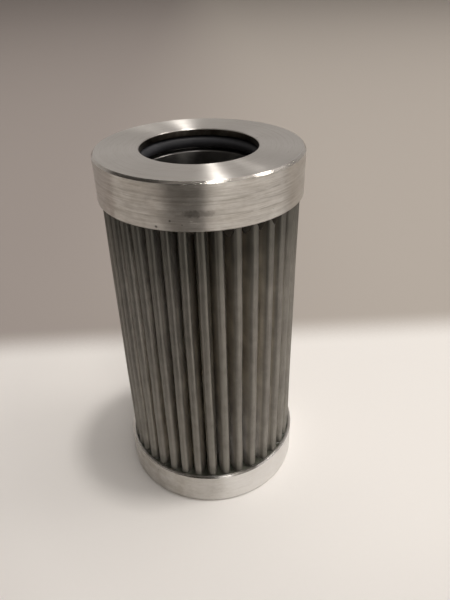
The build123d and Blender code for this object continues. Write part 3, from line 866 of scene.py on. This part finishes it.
bottom_pot = potting("cast_potting_bottom", CHANNEL_FLOOR, bpot_hi.z, 1, [])
top_pot = potting("cast_potting_top", CHANNEL_CEIL, tpot_lo.z, -1,
                  [(-78.3, 21.3, 0.85, 1.45), (-75.9, 21.2, 0.80, 1.65), (-68.4, 21.3, 0.7, 1.35), (-66.4, 21.2, 0.8, 1.55), (-59.0, 21.3, 0.8, 1.7), (-56.9, 21.3, 0.7, 1.4), (-49.4, 21.3, 0.8, 1.8), (-47.4, 21.2, 0.7, 1.5),
                   (-39.0, 21.2, 0.8, 1.3), (-86.4, 21.1, 0.8, 1.2), (-96.0, 21.1, 0.9, 1.35), (-105.4, 21.1, 0.7, 1.2), (-133.0, 21.0, 0.8, 1.1),
                   (32.0, 21.0, 0.8, 0.9), (51.0, 21.0, 0.8, 0.7), (118.0, 21.0, 0.9, 1.1), (156.0, 21.0, 0.8, 0.8), (201.0, 21.0, 0.6, 0.7)], seed=9)
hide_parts("bottom_potting")
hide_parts("top_potting")
adhesive = epoxy("cast_adhesive")
give(bottom_pot, adhesive)
# painted shade: the top end's adhesive is a darker, browner, less shiny copy of the same adhesive, as it lies under the
# cap
give(top_pot, epoxy("cast_adhesive_shaded", (0.22, 0.17, 0.145), 0.12, 0.46))


# ---------------------------------------------------------------- carried-over nodes
def finish_node(name, mat, angle=35.0):
    ob = nodes[name]
    ob.data.materials.clear()
    ob.data.materials.append(mat)
    ob.data.polygons.foreach_set("use_smooth", [True] * len(ob.data.polygons))


finish_node("bore_o_ring", rubber("nitrile_rubber"))
finish_node("core_tube", core_steel("core_steel"))
finish_node("seam_strip_clip", seam_steel("seam_steel"))

# ---------------------------------------------------------------- floor
fm, fn = material("pale_floor")
ftc = fn.add("ShaderNodeTexCoord")
fx, fy, fz = fn.split(ftc.outputs["Object"])
fdx = fn.math("SUBTRACT", fx, 0.030)
fdy = fn.math("SUBTRACT", fy, 0.035)
dist = fn.math("SQRT", fn.math("ADD", fn.math("MULTIPLY", fdx, fdx), fn.math("MULTIPLY", fdy, fdy)))
fgrain = fn.noise(ftc.outputs["Object"], 900.0, 4.0, 0.6)
# pale where the light falls, greyer away from it and behind
near = fn.ramp(dist, [(0.070, (0.92, 0.90, 0.876)), (0.098, (0.87, 0.85, 0.83)), (0.130, (0.77, 0.745, 0.725)), (0.200, (0.74, 0.705, 0.68)), (1.0, (0.72, 0.685, 0.655))], "EASE")
# painted light: a paler patch on the floor in front of the object, to its right
front = fn.math("MULTIPLY", fn.span(fy, -0.085, -0.150), fn.span(fx, 0.012, 0.040))
near = fn.mix(fn.math("MULTIPLY", front, 0.75), near, rgb(0.93, 0.895, 0.86))
side = fn.span(fx, -0.10, 0.10)
back = fn.mix(side, rgb(0.365, 0.325, 0.305), rgb(0.48, 0.44, 0.40))
fcol = fn.mix(fn.span(fn.math("ADD", fy, fn.math("MULTIPLY", fgrain, 0.002)), 0.042, 0.062), near, back)
# painted light: the floor is made up to 1.22 times paler at the far left
left = fn.math("MULTIPLY", fn.span(fx, -0.135, -0.155), fn.span(fy, 0.19, 0.16))
left = fn.math("ADD", 1.0, fn.math("MULTIPLY", left, 0.22))
fcol = fn.vec("MULTIPLY", fcol, fn.join(left, left, left))
fcol = fn.mix(fn.math("MULTIPLY", fgrain, 0.05), fcol, rgb(0.6, 0.59, 0.58))
fn.principled(Base_Color=fcol, Roughness=0.85, Specular_IOR_Level=0.2, Normal=fn.bump(fgrain, 0.00002, 1.0))
bpy.ops.mesh.primitive_plane_add(size=8.0, location=(0, 0, 0))
floor = bpy.context.object
floor.name = "pale_floor"
floor.data.materials.append(fm)


# a dark board stands in front, where a viewer would: it only shows as a reflection
def board(name, x0, x1, y0, y1, height, soft0, soft1, dark=(0.05, 0.046, 0.042)):
    me = bpy.data.meshes.new(name)
    cols = 24
    vs, uv0 = [], []
    for i in range(cols + 1):
        t = i / cols
        vs.append((x0 + (x1 - x0) * t, y0 + (y1 - y0) * t, 0.0005))
        vs.append((x0 + (x1 - x0) * t, y0 + (y1 - y0) * t, height))
        uv0 += [(t, 0.0), (t, 1.0)]
    fs = [(2 * i, 2 * i + 2, 2 * i + 3, 2 * i + 1) for i in range(cols)]
    me.from_pydata(vs, [], fs)
    lay = me.uv_layers.new(name="UVMap")
    idx = np.zeros(len(me.loops), np.int32)
    me.loops.foreach_get("vertex_index", idx)
    lay.data.foreach_set("uv", np.asarray(uv0, np.float32)[idx].ravel())
    ob = bpy.data.objects.new(name, me)
    bpy.context.scene.collection.objects.link(ob)
    bm, bn = material(name)
    tcb = bn.add("ShaderNodeTexCoord")
    ub = bn.split(tcb.outputs["UV"])
    solid = bn.math("MULTIPLY", bn.span(ub[0], 0.0, max(soft0, 1e-3)), bn.span(ub[0], 1.0, 1.0 - max(soft1, 1e-3)))
    clear = bn.add("ShaderNodeBsdfTransparent")
    matt = bn.add("ShaderNodeBsdfDiffuse")
    matt.inputs[0].default_value = (*dark, 1)
    mixs = bn.add("ShaderNodeMixShader")
    bn.link(solid, mixs.inputs[0])
    bn.link(clear.outputs[0], mixs.inputs[1])
    bn.link(matt.outputs[0], mixs.inputs[2])
    outb = bn.add("ShaderNodeOutputMaterial")
    bn.link(mixs.outputs[0], outb.inputs[0])
    me.materials.append(bm)
    ob.visible_camera = False
    ob.visible_shadow = False
    return ob


def ring_card(name, cx, cy, stops):
    """A dark ring card just above the floor, in front of the object, seen only in reflections: painted shade for the
    floor away from the lamps. stops gives how solid it is at a distance from its middle."""
    r0, r1 = stops[0][0], stops[-1][0]
    turns, steps = 128, 10
    vs = []
    for i in range(turns):
        a = 2 * math.pi * i / turns
        for k in range(steps + 1):
            r = r0 + (r1 - r0) * k / steps
            vs.append((cx + r * math.cos(a), cy + r * math.sin(a), 0.0008))
    fs = []
    for i in range(turns):
        j = (i + 1) % turns
        for k in range(steps):
            fs.append((i * (steps + 1) + k, i * (steps + 1) + k + 1, j * (steps + 1) + k + 1, j * (steps + 1) + k))
    me = bpy.data.meshes.new(name)
    me.from_pydata(vs, [], fs)
    ob = bpy.data.objects.new(name, me)
    bpy.context.scene.collection.objects.link(ob)
    cm, cn = material(name)
    ctc = cn.add("ShaderNodeTexCoord")
    x, y, z = cn.split(ctc.outputs["Object"])
    dx, dy = cn.math("SUBTRACT", x, cx), cn.math("SUBTRACT", y, cy)
    far = cn.math("SQRT", cn.math("ADD", cn.math("MULTIPLY", dx, dx), cn.math("MULTIPLY", dy, dy)))
    solid = cn.split(cn.ramp(far, [(at, (v, v, v)) for at, v in stops], "EASE"))[0]
    solid = cn.math("MULTIPLY", solid, cn.span(y, 0.060, 0.042))
    clear = cn.add("ShaderNodeBsdfTransparent")
    matt = cn.add("ShaderNodeBsdfDiffuse")
    matt.inputs[0].default_value = (0.030, 0.027, 0.025, 1)
    both = cn.add("ShaderNodeMixShader")
    cn.link(solid, both.inputs[0])
    cn.link(clear.outputs[0], both.inputs[1])
    cn.link(matt.outputs[0], both.inputs[2])
    out = cn.add("ShaderNodeOutputMaterial")
    cn.link(both.outputs[0], out.inputs[0])
    me.materials.append(cm)
    ob.visible_camera = False
    ob.visible_shadow = False
    ob.visible_diffuse = False


ring_card("dark_ring", 0.030, 0.035, [(0.092, 0.0), (0.124, 0.13), (0.148, 0.84), (0.175, 0.76), (0.205, 0.0)])
board("dark_board", -0.150, 0.012, -0.150, -0.150, 0.40, 0.45, 0.06)


board("dark_post_left", -0.1885, -0.1825, 0.0470, 0.0470, 0.07, 0.25, 0.25)
board("dark_post_right", 0.1825, 0.1885, 0.0470, 0.0470, 0.07, 0.25, 0.25)


# ---------------------------------------------------------------- light
world = bpy.data.worlds.new("studio")
bpy.context.scene.world = world
world.use_nodes = True
wn = Nodes(world.node_tree)
wtc = wn.add("ShaderNodeTexCoord")
wx, wy, wz = wn.split(wtc.outputs["Generated"])
# a grey room: lighter at the back and towards a window at the front right, dim where the viewer stands


def toward(deg):
    """How nearly a direction points to an azimuth: 1 straight at it."""
    a = math.radians(deg)
    return wn.math("ADD", wn.math("MULTIPLY", wx, math.cos(a)), wn.math("MULTIPLY", wy, math.sin(a)))


room = wn.math("ADD", 0.235, wn.math("MULTIPLY", wn.span(wy, 0.2, 0.9), 0.17))
room = wn.math("ADD", room, wn.math("MULTIPLY", wn.span(wz, 0.45, 0.95), 0.04))
dim = wn.span(toward(-110.0), 0.50, 0.90)
room = wn.math("MULTIPLY", room, wn.math("SUBTRACT", 1.0, wn.math("MULTIPLY", dim, 0.85)))
room = wn.math("ADD", room, wn.math("MULTIPLY", wn.span(toward(-170.0), 0.60, 0.95), 0.20))
room = wn.math("ADD", room, wn.math("MULTIPLY", wn.span(toward(-52.0), 0.80, 0.98), 0.26))


def near_to(way, a, b):
    """0 to 1 as a direction of the room comes near to the direction way."""
    w = Vector(way).normalized()
    dot = wn.math("ADD", wn.math("MULTIPLY", wx, w.x), wn.math("MULTIPLY", wy, w.y))
    return wn.span(wn.math("ADD", dot, wn.math("MULTIPLY", wz, w.z)), a, b)


room = wn.math("ADD", room, wn.math("MULTIPLY", near_to((-0.30, 0.50, 0.81), 0.86, 0.98), 0.24))
room = wn.math("ADD", room, wn.math("MULTIPLY", near_to((0.60, 0.06, 0.80), 0.82, 0.975), 0.36))
room = wn.math("MULTIPLY", room, wn.math("SUBTRACT", 1.0, wn.math("MULTIPLY", near_to((-0.68, 0.08, 0.72), 0.84, 0.96), 0.85)))
wcol = wn.vec("MULTIPLY", wn.join(room, room, room), (1.0, 0.925, 0.865))
bg = wn.add("ShaderNodeBackground")
wn.link(wcol, bg.inputs[0])
bg.inputs[1].default_value = 1.0
# behind the object the room is a plain grey wall
plain = wn.add("ShaderNodeBackground")
plain.inputs[0].default_value = (0.40, 0.375, 0.352, 1)
plain.inputs[1].default_value = 1.0
seen = wn.add("ShaderNodeLightPath")
pick = wn.add("ShaderNodeMixShader")
wn.link(seen.outputs["Is Camera Ray"], pick.inputs[0])
wn.link(bg.outputs[0], pick.inputs[1])
wn.link(plain.outputs[0], pick.inputs[2])
wout = wn.add("ShaderNodeOutputWorld")
wn.link(pick.outputs[0], wout.inputs[0])


def area(name, way, distance, size, light, colour, glossy=True):
    """A lamp in the direction way from the object's middle. light is what it would cast on a card facing it."""
    aim = Vector((0, 0, 0.06))
    at = aim + Vector(way).normalized() * distance
    li = bpy.data.lights.new(name, "AREA")
    li.shape = "RECTANGLE"
    li.size, li.size_y = size
    li.energy = light * math.pi * distance ** 2
    li.color = colour
    ob = bpy.data.objects.new(name, li)
    bpy.context.scene.collection.objects.link(ob)
    ob.location = at
    ob.rotation_euler = (at - aim).to_track_quat("Z", "Y").to_euler()
    ob.visible_glossy = glossy
    return ob


WARM = (1.0, 0.955, 0.905)
area("overhead", (0.175, -0.02, 0.97), 1.6, (0.14, 0.14), 0.85, WARM)
area("overhead_near", (0.135, -0.47, 0.87), 1.6, (0.20, 0.20), 0.17, WARM)
area("right_lamp", (0.66, 0.03, 0.75), 1.6, (0.36, 0.30), 0.24, WARM)
area("right_soft", (0.47, -0.03, 0.88), 1.5, (1.80, 1.80), 1.34, WARM, glossy=False)
area("front_soft", (0.42, -0.82, 0.33), 1.5, (0.80, 0.40), 0.15, WARM)
area("front_strip", (0.363, -0.86, 0.36), 1.5, (0.07, 0.45), 0.022, WARM)


# ---------------------------------------------------------------- camera
R_CAP = TOP_R
f_px, cam_d, cam_h = 534.32, 5.0186, 5.3326
yaw, pitch, roll = math.radians(2.3607), math.radians(32.4914), math.radians(-1.4795)
F = Vector((math.sin(yaw) * math.cos(pitch), math.cos(yaw) * math.cos(pitch), -math.sin(pitch)))
R0 = Vector((math.cos(yaw), -math.sin(yaw), 0.0))
U0 = R0.cross(F)
RR = R0 * math.cos(roll) + U0 * math.sin(roll)
UU = R0 * -math.sin(roll) + U0 * math.cos(roll)
cam_data = bpy.data.cameras.new("view")
cam = bpy.data.objects.new("view", cam_data)
bpy.context.scene.collection.objects.link(cam)
cam_data.sensor_width = 36.0
cam_data.lens = f_px * 36.0 / 600.0
cam_data.clip_start = 0.01
cam_data.clip_end = 50.0
mw = Matrix.Identity(4)
for row in range(3):
    mw[row][0], mw[row][1], mw[row][2] = RR[row], UU[row], -F[row]
mw[0][3], mw[1][3], mw[2][3] = 0.0, -cam_d * R_CAP, cam_h * R_CAP
cam.matrix_world = mw
bpy.context.scene.camera = cam
bpy.context.scene.view_settings.view_transform = "Standard"
